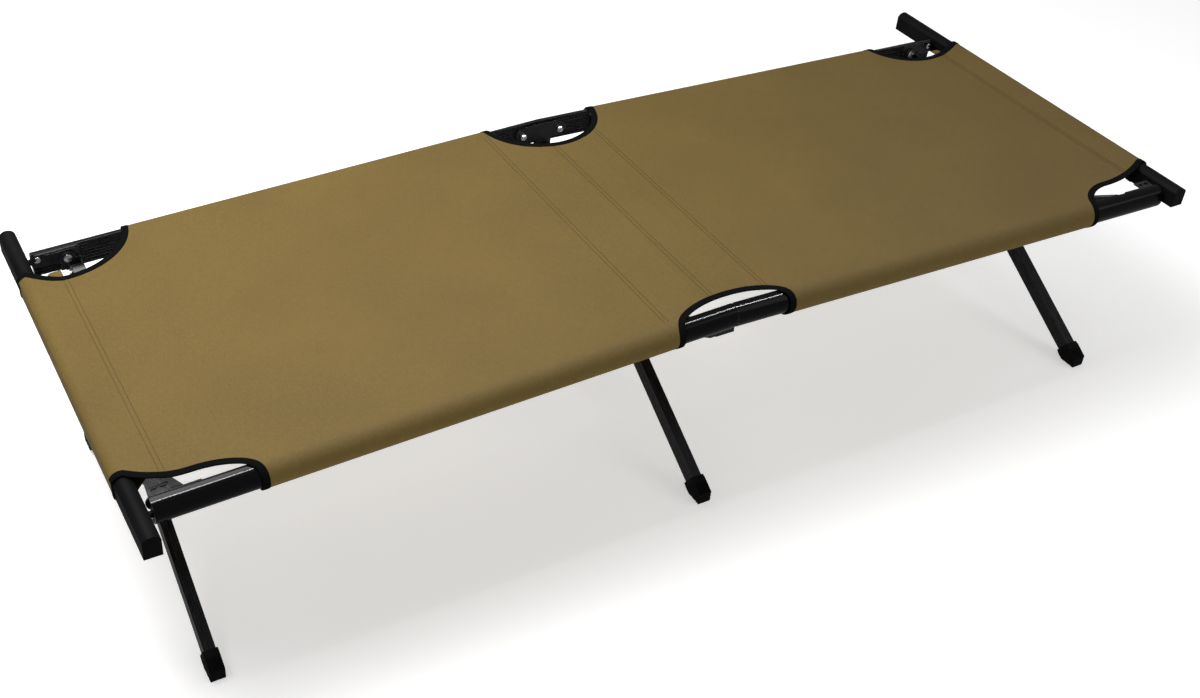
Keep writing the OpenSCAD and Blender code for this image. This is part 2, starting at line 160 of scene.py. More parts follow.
class Deck:
    """Heights of the deck: a net that is held by the rails and end bars, free at the cut-outs."""

    STEP = 8 * MM
    SAG = 0.15e-6  # what the cloth's weight adds at each step of the net
    ROUNDS = 5000
    SPREAD = 12  # steps that the heights are carried over the edges
    SHIFTS = [np.s_[2:, 1:-1], np.s_[:-2, 1:-1], np.s_[1:-1, 2:], np.s_[1:-1, :-2]]

    def __init__(self):
        nx, ny = (2 * int(round(w / self.STEP / 2)) + 1 for w in (2 * BAR_X, 2 * TOP_Y))
        self.x = np.linspace(-BAR_X, BAR_X, nx)
        self.y = np.linspace(-TOP_Y, TOP_Y, ny)
        x, y = np.meshgrid(self.x, self.y, indexing="ij")
        cloth = self.covered(x, y)
        on_rail = (np.abs(y) > SLEEVE_SEAM - self.STEP / 2) & cloth
        on_bar = np.abs(x) > BAR_X - self.STEP / 2
        on_seam = (np.abs(np.abs(x) - END_SEAM) < self.STEP / 2) & (np.abs(y) < SEAM_REACH)
        z = np.zeros(x.shape)  # above the line of the rails' tops
        z[on_bar] = BAR_TOP + CLOTH_GAP - rail_line(BAR_X)
        z[on_seam] += SEAM_RISE
        self.relax(z, cloth, cloth & ~on_rail & ~on_bar & ~on_seam)
        self.spread(z, cloth.copy())
        self.z = rail_line(x) + z

    def covered(self, x, y):
        """Where the deck has cloth, between its cut-outs."""
        cloth = np.ones(x.shape, bool)
        for end, e in ENDS.items():
            cloth &= ~((np.abs(x) < MIDDLE_ZONE) & (y * e > middle_edge(end, x)))
            for side, s in SIDES.items():
                cut = (x * s > CORNER_ZONE) & (y * e > corner_edge(side, end, np.abs(x)))
                cloth &= ~cut
        return cloth

    def relax(self, z, cloth, free):
        """Lets the free points of the net settle between their neighbours in the cloth."""
        pad = np.pad(cloth, 1).astype(float)
        near = [pad[shift] for shift in self.SHIFTS]
        count = np.maximum(sum(near), 1)
        for _ in range(self.ROUNDS):
            p = np.pad(z, 1)
            mean = sum(n * p[shift] for n, shift in zip(near, self.SHIFTS)) / count
            z[free] = mean[free] - self.SAG

    def spread(self, z, known):
        """Carries the heights a little way over the edges."""
        for _ in range(self.SPREAD):
            p, k = np.pad(z, 1), np.pad(known, 1).astype(float)
            total = sum(k[shift] for shift in self.SHIFTS)
            fill = ~known & (total > 0)
            mean = sum(k[shift] * p[shift] for shift in self.SHIFTS) / np.maximum(total, 1)
            z[fill] = mean[fill]
            known |= fill

    def height(self, x, y):
        """Bilinear height of the deck at points x, y."""
        i = np.clip((x - self.x[0]) / (self.x[1] - self.x[0]), 0, len(self.x) - 1.001)
        j = np.clip((y - self.y[0]) / (self.y[1] - self.y[0]), 0, len(self.y) - 1.001)
        a, b = i.astype(int), j.astype(int)
        f, g = i - a, j - b
        z = self.z
        return (z[a, b] * (1 - f) + z[a + 1, b] * f) * (1 - g) + (
            z[a, b + 1] * (1 - f) + z[a + 1, b + 1] * f
        ) * g


deck = Deck()


# ---- outlines that the cloth is wrapped round -------------------------------


def arc(cx, cy, r, start, end, n):
    """Points of an arc, from start to end in degrees."""
    a = np.radians(np.linspace(start, end, n))
    return np.stack([cx + r * np.cos(a), cy + r * np.sin(a)], 1)


class Path:
    """A path through 2-D points, read by its length."""

    def __init__(self, points):
        self.p = np.array(points, float)
        step = np.linalg.norm(np.diff(self.p, axis=0), axis=1)
        self.s = np.concatenate([[0], np.cumsum(step)])
        self.length = self.s[-1]

    def at(self, s):
        return np.interp(s, self.s, self.p[:, 0]), np.interp(s, self.s, self.p[:, 1])


HEM_BELOW = 0.9 * MM  # a rail cloth's hem lies this far below the line of the rail's top
HEM_BEND = 2 * MM  # radius of its bends inside the rail
HEM_START = RAIL_IN + 1.2 * MM
HEM_RISE = RAIL_IN - 2.8 * MM
under_deck = RAIL_R - HEM_BELOW
RAIL_WRAP = Path(
    np.concatenate(
        [
            arc(TOP_Y, 0, WRAP_R, 90, -90, 29),
            arc(HEM_START, -WRAP_R + HEM_BEND, HEM_BEND, -90, -180, 5),
            arc(HEM_RISE, under_deck - HEM_BEND, HEM_BEND, 0, 90, 5),
            [[SLEEVE_SEAM, under_deck]],
        ]
    )
)
BAR_EDGE = 1 * MM  # the centre of a bend lies this far inside a bar's edge
BAR_BEND = 1.6 * MM
BAR_SHOULDER = 1.5 * MM  # the upper bend below the crown's edge
HEM_LIFT = 5 * MM  # radius of the rise from under a bar to its seam
HEM_LIFT_AT = (END_SEAM + 16 * MM, BAR_TOP - 14 * MM)
HEM_DEPTH = 7.8 * MM  # the end of that cloth, below a bar's top
bar_half = (BAR_OUT - BAR_IN) / 2
bar_round = (bar_half**2 + BAR_CROWN**2) / (2 * BAR_CROWN)
bar_lean = math.degrees(math.asin(bar_half / bar_round))
BAR_WRAP = Path(
    np.concatenate(
        [
            arc(BAR_X, BAR_TOP - bar_round, bar_round + CLOTH_GAP, 90, 90 - bar_lean, 13),
            arc(BAR_OUT - BAR_EDGE, BAR_TOP - BAR_CROWN - BAR_SHOULDER, BAR_BEND, 20, 0, 3),
            arc(BAR_OUT - BAR_EDGE, BAR_LOW + BAR_EDGE, BAR_BEND, 0, -90, 5),
            arc(BAR_IN + BAR_EDGE, BAR_LOW + BAR_EDGE, BAR_BEND, -90, -140, 4),
            arc(*HEM_LIFT_AT, HEM_LIFT, 40, 80, 5),
            [[END_SEAM, BAR_TOP - HEM_DEPTH]],
        ]
    )
)


# ---- maps from the flat cloth to its place ----------------------------------


def side_map(s):
    """Map of the cloth on side s. u runs from the middle over the end bar and back to its seam, v
    across the deck and, past the top of a rail, round that rail and back to its seam."""

    def place(u, v):
        flat = np.minimum(u, BAR_X)
        z = deck.height(s * flat, v)
        bx, bz = BAR_WRAP.at(np.maximum(u - BAR_X, 0))
        over = u > BAR_X
        on_deck = np.stack([s * np.where(over, bx, u), v, np.where(over, bz, z)], -1)
        y, b = RAIL_WRAP.at(np.maximum(np.abs(v) - TOP_Y, 0))
        a = (u - PIVOT_X - WRAP_R * math.sin(ARCH)) / math.cos(ARCH)
        x = PIVOT_X + a * math.cos(ARCH) + b * math.sin(ARCH)
        z = PIVOT_Z - a * math.sin(ARCH) + b * math.cos(ARCH)
        on_rail = np.stack([s * x, np.sign(v) * y, z], -1)
        return np.where((np.abs(v) > TOP_Y)[..., None], on_rail, on_deck)

    return place


FOLD_DROP = 1 * MM  # the turn of the middle panel lies this far below the side panels
FOLD_EASE = 3  # per radian: how soon it has dropped there


def fold_map(s):
    """Map of the middle panel's turn round a pivot, which stays hidden until the bed folds."""

    def place(u, v):
        a = (np.abs(u) - PIVOT_X) / WRAP_R
        drop = np.clip(FOLD_EASE * a, 0, 1) * FOLD_DROP
        r = deck.height(np.full_like(v, s * PIVOT_X), v) - PIVOT_Z - drop
        return np.stack([s * (PIVOT_X + r * np.sin(a)), v, PIVOT_Z + r * np.cos(a)], -1)

    return place


# ---- mesh making --------------------------------------------------------------


def add_mesh(name, points, faces, uv=None, smooth=True):
    """An object at the origin from points, faces and each point's place in the flat cloth."""
    mesh = bpy.data.meshes.new(name)
    points = np.asarray(points) + np.array([0, CENTRE_Y, 0])
    mesh.from_pydata([tuple(p) for p in points], [], [tuple(int(i) for i in f) for f in faces])
    if uv is not None:
        layer = mesh.uv_layers.new(name="flat")
        index = np.zeros(len(mesh.loops), int)
        mesh.loops.foreach_get("vertex_index", index)
        layer.data.foreach_set("uv", np.asarray(uv)[index].astype(np.float32).ravel())
    mesh.validate()
    mesh.polygons.foreach_set("use_smooth", [smooth] * len(mesh.polygons))
    obj = bpy.data.objects.new(name, mesh)
    bpy.context.scene.collection.objects.link(obj)
    return obj


def area(points):
    """Area of a flat outline."""
    x, y = np.array(points).T
    return abs(np.dot(x, np.roll(y, -1)) - np.dot(y, np.roll(x, -1))) / 2


def densify(points, step):
    """The closed outline with points at most step apart."""
    out = []
    for p, q in zip(points, np.roll(points, -1, axis=0)):
        n = max(1, int(math.ceil(np.linalg.norm(q - p) / step)))
        out += [p + (q - p) * i / n for i in range(n)]
    return np.array(out)


EDGE_STEP = 7 * MM
NET_MARGIN = 2.5 * MM  # no net point comes closer to the outline


def cloth(name, outline, us, vs, place, turn=1):
    """A sheet of cloth with this flat outline and a net of lines at us and vs, thin and smooth."""
    outline = densify(np.array(outline, float), EDGE_STEP)
    u, v = np.meshgrid(us, vs, indexing="ij")
    net = np.stack([u.ravel(), v.ravel()], 1)
    n = len(outline)
    a, b = outline, np.roll(outline, -1, axis=0)
    inside = np.zeros(len(net), bool)
    close = np.full(len(net), np.inf)
    for p, q in zip(a, b):
        crosses = (p[1] > net[:, 1]) != (q[1] > net[:, 1])
        if crosses.any():
            x = p[0] + (net[:, 1] - p[1]) / (q[1] - p[1] + 1e-12) * (q[0] - p[0])
            inside ^= crosses & (net[:, 0] < x)
        close = np.minimum(close, np.linalg.norm(net - (p + q) / 2, axis=1))
    net = net[inside & (close > NET_MARGIN)]
    points = [Vector(p) for p in np.concatenate([outline, net])]
    edges = [(i, (i + 1) % n) for i in range(n)]
    flat, _, faces, *_ = delaunay_2d_cdt(points, edges, [], 1, 1e-7)
    flat = np.array([tuple(p) for p in flat])
    faces = [f if turn > 0 else f[::-1] for f in faces]
    obj = add_mesh(name, place(flat[:, 0], flat[:, 1]), faces, flat)
    used = np.zeros(len(obj.data.edges), int)
    index = np.zeros(len(obj.data.loops), int)
    obj.data.loops.foreach_get("edge_index", index)
    np.add.at(used, index, 1)
    obj.data.edges.foreach_set("use_edge_sharp", used == 1)
    return obj, area(outline)


HALF_CLOTH = CLOTH_T / 2
TAPE_SECTION = [
    (TAPE_W, HALF_CLOTH), (TAPE_W - 0.3 * MM, HALF_CLOTH + 0.7 * TAPE_T),
    (0.75 * TAPE_W, HALF_CLOTH + TAPE_T), (0.35 * TAPE_W, HALF_CLOTH + 1.1 * TAPE_T),
    (0.4 * MM, HALF_CLOTH + TAPE_T), (-0.5 * MM, 0.7 * HALF_CLOTH + 0.6 * TAPE_T), (-0.8 * MM, 0),
    (-0.5 * MM, -0.7 * HALF_CLOTH - 0.6 * TAPE_T), (0.4 * MM, -HALF_CLOTH - TAPE_T),
    (0.75 * TAPE_W, -HALF_CLOTH - TAPE_T), (TAPE_W - 0.3 * MM, -HALF_CLOTH - 0.7 * TAPE_T),
    (TAPE_W, -HALF_CLOTH),
]  # fmt: skip


def tape_rings(route, place, up, inwards, lift):
    """Cross sections of a tape folded over an edge, and their flat places. route is the edge's
    flat points, inwards the side of it that the cloth is on, and lift how far, from 0 to 1, the
    tape's lower layer is pressed flat against what the cloth lies on."""
    along = np.gradient(route, axis=0)
    along /= np.linalg.norm(along, axis=1)[:, None]
    into = np.stack([-along[:, 1], along[:, 0]], 1) * inwards
    eps = 0.2 * MM
    base = place(route[:, 0], route[:, 1])
    inner = place(route[:, 0] + eps * into[:, 0], route[:, 1] + eps * into[:, 1]) - base
    normal = np.cross(inner, np.gradient(base, axis=0))
    normal /= np.linalg.norm(normal, axis=1)[:, None]
    normal *= np.sign(np.sum(normal * up(base), axis=1))[:, None]
    length = np.concatenate([[0], np.cumsum(np.linalg.norm(np.diff(base, axis=0), axis=1))])
    rings, flat = [], []
    for d, n in TAPE_SECTION:
        near = route + into * d
        side = place(near[:, 0], near[:, 1]) if d > 0 else base + d * inner / eps
        height = n * (1 - 0.9 * lift) if n < 0 else np.full(len(route), n)
        rings.append(side + normal * height[:, None])
        flat.append(np.stack([length, np.full(len(length), d - 3 * min(n, 0))], 1))
    return np.stack(rings, 1), np.stack(flat, 1)


def tape_piece(rings, flat):
    """A closed length of tape through these cross sections."""
    m, k = rings.shape[:2]
    faces = []
    for i in range(m - 1):
        for j in range(k):
            a, b = i * k + j, i * k + (j + 1) % k
            faces.append((a, b, b + k, a + k))
    faces += [tuple(range(k))[::-1], tuple(range((m - 1) * k, m * k))]
    return add_mesh("tape", rings.reshape(-1, 3), faces, flat.reshape(-1, 2))


def join(name, objs):
    """Joins meshes into one object with this name."""
    for o in bpy.context.scene.objects:
        o.select_set(False)
    for o in objs:
        o.select_set(True)
    bpy.context.view_layer.objects.active = objs[0]
    bpy.ops.object.join()
    objs[0].name = name
    return objs[0]


# ---- seams --------------------------------------------------------------------

STITCH = 4.4 * MM
STITCH_GAP = 1.1 * MM
THREAD_R = 0.42 * MM
ROW_GAP = 7 * MM
END_ROWS = 883 * MM
MIDDLE_ROWS = {"left": [-118 * MM], "centre": [-21 * MM], "right": [72 * MM]}


STITCH_SIDES = 6
STITCH_RINGS = ((0, 0.35), (0.25, 1), (0.75, 1), (1, 0.35))  # place along it, share of the radius
PROBE = 0.4 * MM  # how far apart the cloth is read to find its slope


def cloth_frame(spot, place):
    """The point of the cloth at a flat spot, its two directions there, and the way up."""
    u, v = spot
    p = place(np.array([u]), np.array([v]))[0]
    px = place(np.array([u + PROBE]), np.array([v]))[0] - p
    py = place(np.array([u]), np.array([v + PROBE]))[0] - p
    px, py = px / np.linalg.norm(px), py / np.linalg.norm(py)
    up = np.cross(px, py)
    up *= 1 if up[2] > 0 or abs(up[2]) < TINY else -1
    return p, px, py, up


def stitch(a, b, transverse, place):
    """Rings of points of one stitch between the flat spots a and b, and their flat places."""
    points, flat = [], []
    for t, r in STITCH_RINGS:
        spot = a + (b - a) * t
        p, px, py, up = cloth_frame(spot, place)
        across = px if transverse else py
        middle = p + up * (CLOTH_T / 2 + THREAD_R * (0.9 if r == 1 else -0.2))
        for k in range(STITCH_SIDES):
            w = 2 * math.pi * k / STITCH_SIDES
            points.append(middle + THREAD_R * r * (across * math.cos(w) + up * math.sin(w)))
            flat.append(spot)
    return points, flat


def stitch_faces(first):
    """Faces of a stitch whose points start at this index."""
    n, faces = STITCH_SIDES, []
    for ring in range(len(STITCH_RINGS) - 1):
        q = first + ring * n
        faces += [(q + k, q + (k + 1) % n, q + n + (k + 1) % n, q + n + k) for k in range(n)]
    last = first + (len(STITCH_RINGS) - 1) * n
    faces.append(tuple(first + k for k in range(n)))
    faces.append(tuple(last + k for k in range(n))[::-1])
    return faces


def stitch_rows(name, rows, place):
    """Stitches along rows, each a pair of flat end points."""
    points, faces, uv = [], [], []
    for start, end in rows:
        start, end = np.array(start), np.array(end)
        run = end - start
        length = np.linalg.norm(run)
        for i in range(int(length / STITCH)):
            a = start + run * (i * STITCH + STITCH_GAP / 2) / length
            b = start + run * ((i + 1) * STITCH - STITCH_GAP / 2) / length
            faces += stitch_faces(len(points))
            new, flat = stitch(a, b, abs(run[1]) > abs(run[0]), place)
            points += new
            uv += flat
    return add_mesh(name, points, faces, uv)


# ---- materials ------------------------------------------------------------------


class Nodes:
    """A short way to write a material's node tree."""

    def __init__(self, name):
        self.mat = bpy.data.materials.new(name)
        self.mat.use_nodes = True
        self.tree = self.mat.node_tree
        self.tree.nodes.clear()
        self.out = self.tree.nodes.new("ShaderNodeOutputMaterial")
        self.shader = self.add("BsdfPrincipled")
        self.tree.links.new(self.shader.outputs[0], self.out.inputs[0])

    def add(self, kind, inputs=None, **settings):
        node = self.tree.nodes.new("ShaderNode" + kind)
        for key, value in settings.items():
            setattr(node, key, value)
        for key, value in (inputs or {}).items():
            self.put(node.inputs[key], value)
        return node

    def put(self, socket, value):
        if isinstance(value, bpy.types.NodeSocket):
            self.tree.links.new(value, socket)
        elif isinstance(value, tuple) and len(value) == 3 and socket.type == "RGBA":
            socket.default_value = (*value, 1)
        else:
            socket.default_value = value

    def surface(self, **values):
        for key, value in values.items():
            self.put(self.shader.inputs[key.replace("_", " ").title()], value)

    def math(self, op, a, b=0.0, c=0.0):
        node = self.add("Math", {0: a, 1: b, 2: c}, operation=op)
        return node.outputs[0]

    def coords(self, kind="Object"):
        return self.add("TexCoord").outputs[kind]

    def split(self, vector):
        node = self.add("SeparateXYZ", {0: vector})
        return node.outputs[0], node.outputs[1], node.outputs[2]

    def scaled(self, vector, scale):
        return self.add("Mapping", {"Vector": vector, "Scale": scale}).outputs[0]

    def noise(self, vector, scale, detail=3.0, rough=0.5):
        inputs = {"Vector": vector, "Scale": scale, "Detail": detail, "Roughness": rough}
        return self.add("TexNoise", inputs).outputs[0]

    def ramp(self, value, low, high, to_low=0.0, to_high=1.0):
        inputs = {0: value, 1: low, 2: high, 3: to_low, 4: to_high}
        return self.add("MapRange", inputs, clamp=True).outputs[0]

    def mix(self, factor, a, b):
        node = self.add("Mix", data_type="RGBA")
        self.put(node.inputs[0], factor)
        self.put(node.inputs[6], a)
        self.put(node.inputs[7], b)
        return node.outputs[2]

    def bump(self, height, strength, distance, normal=None):
        inputs = {"Height": height, "Strength": strength, "Distance": distance}
        if normal is not None:
            inputs["Normal"] = normal
        return self.add("Bump", inputs).outputs[0]


def weave(n, uv, pitch):
    """Height of a plain weave of this pitch: warp and weft take turns on top, cell by cell."""
    u, v, _ = n.split(uv)
    waves = [n.math("SINE", n.math("MULTIPLY", way, math.pi / pitch)) for way in (u, v)]
    warp, weft = (n.math("ABSOLUTE", wave) for wave in waves)
    cell = n.add("TexChecker", {"Vector": uv, "Scale": 1 / pitch}).outputs[1]
    return n.add("Mix", {0: cell, 2: warp, 3: weft}, data_type="FLOAT").outputs[0]


def canvas_material():
    n = Nodes("canvas")
    uv = n.coords("UV")
    threads = weave(n, uv, 1.0 * MM)
    slub_a = n.noise(n.scaled(uv, (60, 900, 1)), 1.0, 2.0)
    slub_b = n.noise(n.scaled(uv, (900, 60, 1)), 1.0, 2.0)
    slubs = n.math("ADD", slub_a, slub_b)
    cloud = n.noise(uv, 5.0, 4.0, 0.55)
    fine = n.noise(uv, 240.0, 3.0, 0.6)
    dark, light = (0.094, 0.061, 0.0135), (0.178, 0.116, 0.026)
    tone = n.math("ADD", n.math("MULTIPLY", slubs, 0.42), n.math("MULTIPLY", cloud, 0.30))
    tone = n.math("ADD", tone, n.math("MULTIPLY", fine, 0.28))
    colour = n.mix(n.ramp(tone, 0.40, 0.92), dark, light)
    # the weave's valleys are made darker than the thread tops: painted shade
    valley_shade = n.ramp(threads, 0.0, 0.7, 0.80, 1.0)
    colour = n.add("Mix", {0: 1.0, 6: colour, 7: valley_shade}, data_type="RGBA", blend_type="MULTIPLY")
    n.surface(base_color=colour.outputs[2], roughness=n.ramp(slubs, 0.7, 1.3, 0.62, 0.76))
    n.shader.inputs["Specular IOR Level"].default_value = 0.14
    n.shader.inputs["Sheen Weight"].default_value = 0.02
    n.shader.inputs["Sheen Roughness"].default_value = 0.45
    n.shader.inputs["Sheen Tint"].default_value = (0.95, 0.85, 0.62, 1)
    creases = n.noise(n.scaled(uv, (5, 9, 1)), 1.0, 3.0, 0.5)
    rough = n.bump(creases, 0.35, 4 * MM)
    rough = n.bump(slubs, 0.35, 0.35 * MM, rough)
    n.surface(normal=n.bump(threads, 0.5, 0.25 * MM, rough))
    return n.mat


def tape_material():
    n = Nodes("binding tape")
    uv = n.coords("UV")
    threads = weave(n, uv, 0.8 * MM)
    fuzz = n.noise(uv, 500.0, 2.0)
    dark, light = (0.0015, 0.0015, 0.0017), (0.006, 0.006, 0.0064)
    # thread tops lighter and the weave's valleys darker, with random fuzz: painted shade in the
    # valleys
    colour = n.mix(n.math("MULTIPLY", threads, fuzz), dark, light)
    n.surface(base_color=colour, roughness=0.88)
    n.shader.inputs["Specular IOR Level"].default_value = 0.03
    n.surface(normal=n.bump(threads, 0.7, 0.3 * MM))
    return n.mat


def thread_material():
    n = Nodes("sewing thread")
    spot = n.coords("Object")
    twist = n.noise(n.scaled(spot, (900, 900, 900)), 1.0, 1.0)
    n.surface(base_color=n.mix(twist, (0.050, 0.034, 0.012), (0.095, 0.064, 0.024)), roughness=0.85)
    n.shader.inputs["Specular IOR Level"].default_value = 0.05
    n.surface(normal=n.bump(twist, 0.5, 0.2 * MM))
    return n.mat


WORN_AND_SHINE = (0.20, 0.20, 0.21)  # bare metal where the paint has gone; on lit edges and rib lines the same colour is a painted highlight


def metal(
    name, dark, light, rough,
    metallic=0.0, grain=(90, 90, 90), ior=1.45, bevel=0.5 * MM, wear_and_shine=0.0, bump=0.12,
):  # fmt: skip
    """A hard finish with fine grain, softened edges, and a lighter colour along them that is partly
    wear and partly painted highlight.
    """
    n = Nodes(name)
    spot = n.coords("Object")
    streak = n.noise(n.scaled(spot, grain), 1.0, 4.0, 0.6)
    cloud = n.noise(spot, 14.0, 3.0)
    soft = n.add("Bevel", {"Radius": bevel}, samples=3).outputs[0]
    colour = n.mix(n.ramp(streak, 0.35, 0.7), dark, light)
    # edges lighter: partly bare metal from wear, partly a painted highlight where edges and ribs
    # catch the light
    if wear_and_shine:
        plain = n.add("NewGeometry").outputs["Normal"]
        same = n.add("VectorMath", {0: soft, 1: plain}, operation="DOT_PRODUCT").outputs["Value"]
        edge = n.ramp(same, 0.995, 0.90)
        patch = n.ramp(streak, 0.35, 0.58)
        wear_and_shine_mix = n.math("MULTIPLY", n.math("MULTIPLY", edge, patch), wear_and_shine)
        colour = n.mix(wear_and_shine_mix, colour, WORN_AND_SHINE)
    n.surface(base_color=colour, metallic=metallic)
    n.surface(roughness=n.ramp(n.math("ADD", streak, cloud), 0.7, 1.3, rough[0], rough[1]))
    n.shader.inputs["IOR"].default_value = ior
    n.surface(normal=n.bump(streak, bump, 0.15 * MM, soft))
    return n.mat


def plastic(name, dark, light, rough, scale, depth):
    """Moulded plastic with a fine pebbled texture."""
    n = Nodes(name)
    spot = n.coords("Object")
    pebble = n.noise(spot, scale, 2.0, 0.6)
    cloud = n.noise(spot, 18.0, 3.0)
    soft = n.add("Bevel", {"Radius": 0.9 * MM}, samples=3).outputs[0]
    n.surface(base_color=n.mix(n.ramp(cloud, 0.3, 0.7), dark, light))
    n.surface(roughness=n.ramp(pebble, 0.3, 0.7, rough[0], rough[1]))
    n.shader.inputs["IOR"].default_value = 1.12
    n.surface(normal=n.bump(pebble, 0.35, depth, soft))
    return n.mat


MATERIALS = {
    "black_rail": metal(
        "gloss black rail", (0.0015, 0.0015, 0.0018), (0.003, 0.003, 0.0036), (0.11, 0.14),
        grain=(4, 700, 700), ior=1.22, wear_and_shine=1.0, bump=0.0,
    ),
    "black_steel": metal(
        "black pressed steel", (0.003, 0.003, 0.0035), (0.007, 0.007, 0.008), (0.2, 0.32),
        ior=1.4, wear_and_shine=0.55,
    ),
    "rivet": metal(
        "zinc rivet", (0.45, 0.46, 0.49), (0.72, 0.73, 0.76), (0.16, 0.30),
        metallic=1.0, grain=(500, 500, 500), bevel=0.6 * MM,
    ),
    "black_leg": metal(
        "black leg tube", (0.003, 0.003, 0.004), (0.007, 0.007, 0.009), (0.24, 0.36),
        grain=(500, 30, 30), ior=1.3, wear_and_shine=0.6,
    ),
    "foot_rubber": plastic(
        "foot rubber", (0.003, 0.003, 0.003), (0.007, 0.007, 0.007), (0.55, 0.75), 900, 0.2 * MM
    ),
    "bar_black": plastic(
        "textured black bar", (0.0022, 0.0023, 0.0026), (0.0045, 0.0047, 0.0052), (0.46, 0.6), 1300,
        0.12 * MM,
    ),
    "cap_plastic": plastic(
        "cap plastic", (0.002, 0.002, 0.0024), (0.004, 0.004, 0.0046), (0.36, 0.5), 700, 0.1 * MM
    ),
    "canvas": canvas_material(),
    "binding": tape_material(),
    "thread": thread_material(),
}  # fmt: skip


def finish(obj, slot_name, paint=None):
    """Gives a piece its material: the one for paint if it is given, else the one for slot_name."""
    obj.data.materials.clear()
    obj.data.materials.append(MATERIALS[paint or slot_name])
    return obj


# ---- the fabric -------------------------------------------------------------------


def eased(start, end, n, power=2.2):
    """Numbers from start to end, close together near start."""
    return start + (end - start) * np.linspace(0, 1, n) ** power


U_END = BAR_X + BAR_WRAP.length
V_END = TOP_Y + RAIL_WRAP.length
WRAP_STEP = 2.6 * MM
NET_STEP = 9 * MM
SLEEVE_STEP = 12 * MM
TAPE_END = 6 * MM
PANEL_US = np.concatenate(
    [
        np.arange(PIVOT_X + 6 * MM, BAR_X - 4 * MM, NET_STEP),
        BAR_X + np.arange(0, BAR_WRAP.length, WRAP_STEP),
    ]
)
PANEL_VS = np.arange(-TOP_Y + 6 * MM, TOP_Y - 3 * MM, NET_STEP)
WRAP_VS = TOP_Y + np.append(np.arange(0, RAIL_WRAP.length, WRAP_STEP), RAIL_WRAP.length)
TAPE_VS = V_END - SEAM_IN - TAPE_END  # a rail's tape stops here, below the deck


class Edges:
    """The two bound edges of the cloth at one end of a side: round the middle and the corner
    cut-out. Each is flat points in a row, from the rail cloth's seam, where it crosses the top of
    the rail, to the middle or over the bar."""

    def __init__(self, side, end):
        turned, _ = RAIL_WRAP.at(WRAP_VS - TOP_Y)
        past = WRAP_VS - TOP_Y > WRAP_R * math.pi / 2
        first, last = sleeve_ends(side, end, np.where(past, RING_Y, turned))
        self.middle_ring = np.stack([first, WRAP_VS], 1)[::-1]
        self.corner_ring = np.stack([last, WRAP_VS], 1)[::-1]
        us = first[0] + eased(0, PIVOT_X - first[0], 26)
        self.middle = np.stack([us, middle_edge(end, us)], 1)
        us = last[0] + eased(0, BAR_X - last[0], 60)
        over = np.append(np.arange(BAR_X + WRAP_STEP, U_END, WRAP_STEP), U_END)
        us = np.concatenate([us, over])
        self.corner = np.stack([us, corner_edge(side, end, us)], 1)


LIFT_RUN = 8 * MM  # a tape is pressed flat over this length of its edge


def lifts(route):
    """How much of each point of an edge lies on a rail or an end bar."""
    on_bar = np.clip((route[:, 0] - BAR_X + 6 * MM) / LIFT_RUN, 0, 1)
    on_rail = np.clip((np.abs(route[:, 1]) - RAIL_IN + LIFT_RUN) / LIFT_RUN, 0, 1)
    return np.maximum(on_bar, on_rail)


def make_sides():
    """The side panels of the deck and the rail cloths, with the tapes along their edges. A tape
    is swept in one go and then parts where the deck's cloth passes to the rail's."""
    sheets = []
    for side, s in SIDES.items():
        place = side_map(s)
        deck_tapes, outline = [], []
        for end, e in (("back", 1), ("front", -1)):
            edges = Edges(side, end)
            loop = np.concatenate([edges.middle[::-1], edges.corner]) * [1, e]
            outline += list(loop[::e])
            rail_tapes = []
            for ring, run, inwards in (
                (edges.middle_ring, edges.middle, 1), (edges.corner_ring, edges.corner, -1)
            ):  # fmt: skip
                ring = ring[ring[:, 1] < TAPE_VS]
                route = np.concatenate([ring, run[1:]]) * [1, e]
                rings, flat = tape_rings(route, place, outwards(s), inwards * e, lifts(route))
                split = len(ring)
                rail_tapes.append(tape_piece(rings[:split], flat[:split]))
                deck_tapes.append(tape_piece(rings[split - 1 :], flat[split - 1 :]))
            sheets.append(rail_cloth(side, end, edges, place, rail_tapes))
        panel, cut = cloth(f"deck_cloth_{side}", outline, PANEL_US, PANEL_VS, place, turn=-s)
        finish(panel, "canvas")
        thicken(panel)
        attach(panel, f"side_back_{side}")
        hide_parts(f"canvas_{side}", f"end_sleeve_{side}")
        tapes = finish(join(f"deck_tape_{side}", deck_tapes), "binding")
        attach(tapes, f"side_back_{side}")
        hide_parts(f"binding_{side}")
        stitches = stitch_rows(f"deck_stitches_{side}", seam_rows(side), place)
        finish(stitches, "canvas", "thread")
        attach(stitches, f"side_back_{side}")
        sheets.append((panel, cut, [tapes, stitches], (U_END - PIVOT_X, 2 * TOP_Y)))
    return sheets


def rail_cloth(side, end, edges, place, tapes):
    """The cloth round one rail half, with its two tapes."""
    s, e = SIDES[side], ENDS[end]
    name, body = f"rail_cloth_{end}_{side}", f"side_{end}_{side}"
    outline = np.concatenate([edges.middle_ring, edges.corner_ring[::-1]]) * [1, e]
    us = np.arange(90 * MM, 800 * MM, SLEEVE_STEP)
    sleeve, cut = cloth(name, outline, us, WRAP_VS[1:-1] * e, place, turn=-s)
    finish(sleeve, "canvas")
    thicken(sleeve)
    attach(sleeve, body)
    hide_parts(f"rail_sleeve_{end}_{side}")
    tapes = finish(join(f"rail_tape_{end}_{side}", tapes), "binding")
    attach(tapes, body)
    width = float(edges.corner_ring[:, 0].max() - edges.middle_ring[:, 0].min())
    return sleeve, cut, [tapes], (width, RAIL_WRAP.length)


